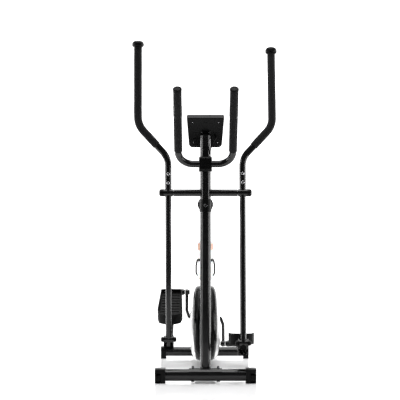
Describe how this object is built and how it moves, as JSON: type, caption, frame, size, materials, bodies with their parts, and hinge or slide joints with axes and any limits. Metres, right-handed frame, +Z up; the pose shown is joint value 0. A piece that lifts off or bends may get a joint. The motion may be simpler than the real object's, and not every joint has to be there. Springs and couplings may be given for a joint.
{
  "type": "elliptical trainer",
  "caption": "Rear-drive elliptical trainer with swinging arms, tray pedals, a fixed handlebar with pulse grips, a console and a belt-driven magnetic flywheel in an oval casing.",
  "frame": {"origin": "floor level, in the middle of the overall outline seen from above", "axes": "+Z up; +X to the left of a user on the pedals; +Y from the console end to the flywheel end"},
  "size_m": [0.672, 1.132, 1.5598],
  "materials": {
    "frame_black": "gloss powder coat",
    "plastic_black": "fine texture",
    "foam_black": "closed-cell foam",
    "panel_white": "smooth",
    "zinc": "zinc plated",
    "iron": "machined",
    "belt_rubber": "ribbed",
    "bottle_white": "translucent",
    "screen": "clear window"
  },
  "bodies": {
    "frame": {"base_beam": "frame_black", "bottle_cage": "plastic_black", "casing_left": "plastic_black", "casing_right": "plastic_black", "console_back": "plastic_black", "console_board": "plastic_black", "console_bracket": "frame_black", "console_lid": "plastic_black", "console_screen": "screen", "crank_bearings": "zinc", "drive_belt": "belt_rubber", "drive_bracket": "frame_black", "end_plugs": "plastic_black", "fixed_grips": "foam_black", "fixed_handlebar": "frame_black", "flywheel_axle": "zinc", "frame_bolts": "zinc", "front_end_caps": "plastic_black", "front_stabilizer": "frame_black", "handlebar_clamp": "plastic_black", "housing_screws": "zinc", "lower_post": "frame_black", "pivot_axle": "zinc", "post_collar": "plastic_black", "pulse_sensors": "plastic_black", "rear_end_caps": "plastic_black", "rear_stabilizer": "frame_black", "sensor_lead": "plastic_black", "side_panel_left": "panel_white", "side_panel_right": "panel_white", "tension_cable": "plastic_black", "tension_housing": "plastic_black", "upper_post": "frame_black"},
    "crankset": {"crank_arms": "frame_black", "drive_pulley": "plastic_black"},
    "flywheel_rotor": {"flywheel": "iron", "flywheel_pulley": "frame_black"},
    "magnet_brake": {"magnet_carrier": "frame_black"},
    "knob": {"tension_knob": "plastic_black"},
    "button": {"mode_button": "plastic_black"},
    "drink": {"bottle": "bottle_white", "bottle_cap": "plastic_black"},
    "arm_right": {"swing_arm_right": "frame_black", "arm_fittings_right": "zinc", "handle_right": "frame_black", "handle_grip_right": "foam_black", "arm_caps_right": "plastic_black"},
    "bar_right": {"pedal_bar_right": "frame_black", "pedal_right": "plastic_black", "bar_fittings_right": "zinc"},
    "wheel_right": {"transport_wheel_right": "plastic_black"},
    "arm_left": {"swing_arm_left": "frame_black", "arm_fittings_left": "zinc", "handle_left": "frame_black", "handle_grip_left": "foam_black", "arm_caps_left": "plastic_black"},
    "bar_left": {"pedal_bar_left": "frame_black", "pedal_left": "plastic_black", "bar_fittings_left": "zinc"},
    "wheel_left": {"transport_wheel_left": "plastic_black"}
  },
  "joints": [
    {"name": "crank_turn", "type": "hinge", "parent": "frame", "child": "crankset", "pos_m": [0, 0.3399, 0.2345], "axis": [1, 0, 0], "range_deg": [0, 118]},
    {"name": "flywheel_spin", "type": "hinge", "parent": "frame", "child": "flywheel_rotor", "pos_m": [0, 0.1799, 0.205], "axis": [1, 0, 0], "continuous": true},
    {"name": "tension_turn", "type": "hinge", "parent": "frame", "child": "knob", "pos_m": [0, -0.2061, 0.812], "axis": [0, -1, 0], "range_deg": [0, 300]},
    {"name": "brake_swing", "type": "hinge", "parent": "frame", "child": "magnet_brake", "pos_m": [-0.034, 0.1799, 0.325], "axis": [1, 0, 0], "range_deg": [-0.2, 1.7]},
    {"name": "mode_press", "type": "slide", "parent": "frame", "child": "button", "axis": [0, -0.829, -0.5592], "range_m": [0, 0.0015], "stiffness_N_per_m": 300},
    {"name": "bottle_lift", "type": "slide", "parent": "frame", "child": "drink", "axis": [0, 0, 1], "range_m": [0, 0.08]},
    {"name": "arm_swing_right", "type": "hinge", "parent": "frame", "child": "arm_right", "pos_m": [-0.171, -0.2501, 0.8655], "axis": [1, 0, 0], "range_deg": [-19.37, 0.3]},
    {"name": "bar_hinge_right", "type": "hinge", "parent": "arm_right", "child": "bar_right", "pos_m": [-0.171, -0.17778, 0.18332], "axis": [1, 0, 0], "range_deg": [-0.3, 5.45]},
    {"name": "wheel_spin_right", "type": "hinge", "parent": "frame", "child": "wheel_right", "pos_m": [-0.214, -0.3041, 0.024], "axis": [1, 0, 0], "continuous": true},
    {"name": "arm_swing_left", "type": "hinge", "parent": "frame", "child": "arm_left", "pos_m": [0.171, -0.2501, 0.8655], "axis": [1, 0, 0], "range_deg": [-0.3, 16.96]},
    {"name": "bar_hinge_left", "type": "hinge", "parent": "arm_left", "child": "bar_left", "pos_m": [0.171, -0.32235, 0.18332], "axis": [1, 0, 0], "range_deg": [-5.32, 0.3]},
    {"name": "wheel_spin_left", "type": "hinge", "parent": "frame", "child": "wheel_left", "pos_m": [0.214, -0.3041, 0.024], "axis": [1, 0, 0], "continuous": true}
  ],
  "couplings": [
    {"joint": "flywheel_spin", "follows": "crank_turn", "ratio": 6.1111},
    {"joint": "brake_swing", "follows": "tension_turn", "ratio": 0.005},
    {"joint": "arm_swing_right", "follows": "crank_turn", "ratio": -0.16162},
    {"joint": "bar_hinge_right", "follows": "crank_turn", "ratio": 0.04363},
    {"joint": "arm_swing_left", "follows": "crank_turn", "ratio": 0.14117},
    {"joint": "bar_hinge_left", "follows": "crank_turn", "ratio": -0.042501}
  ]
}
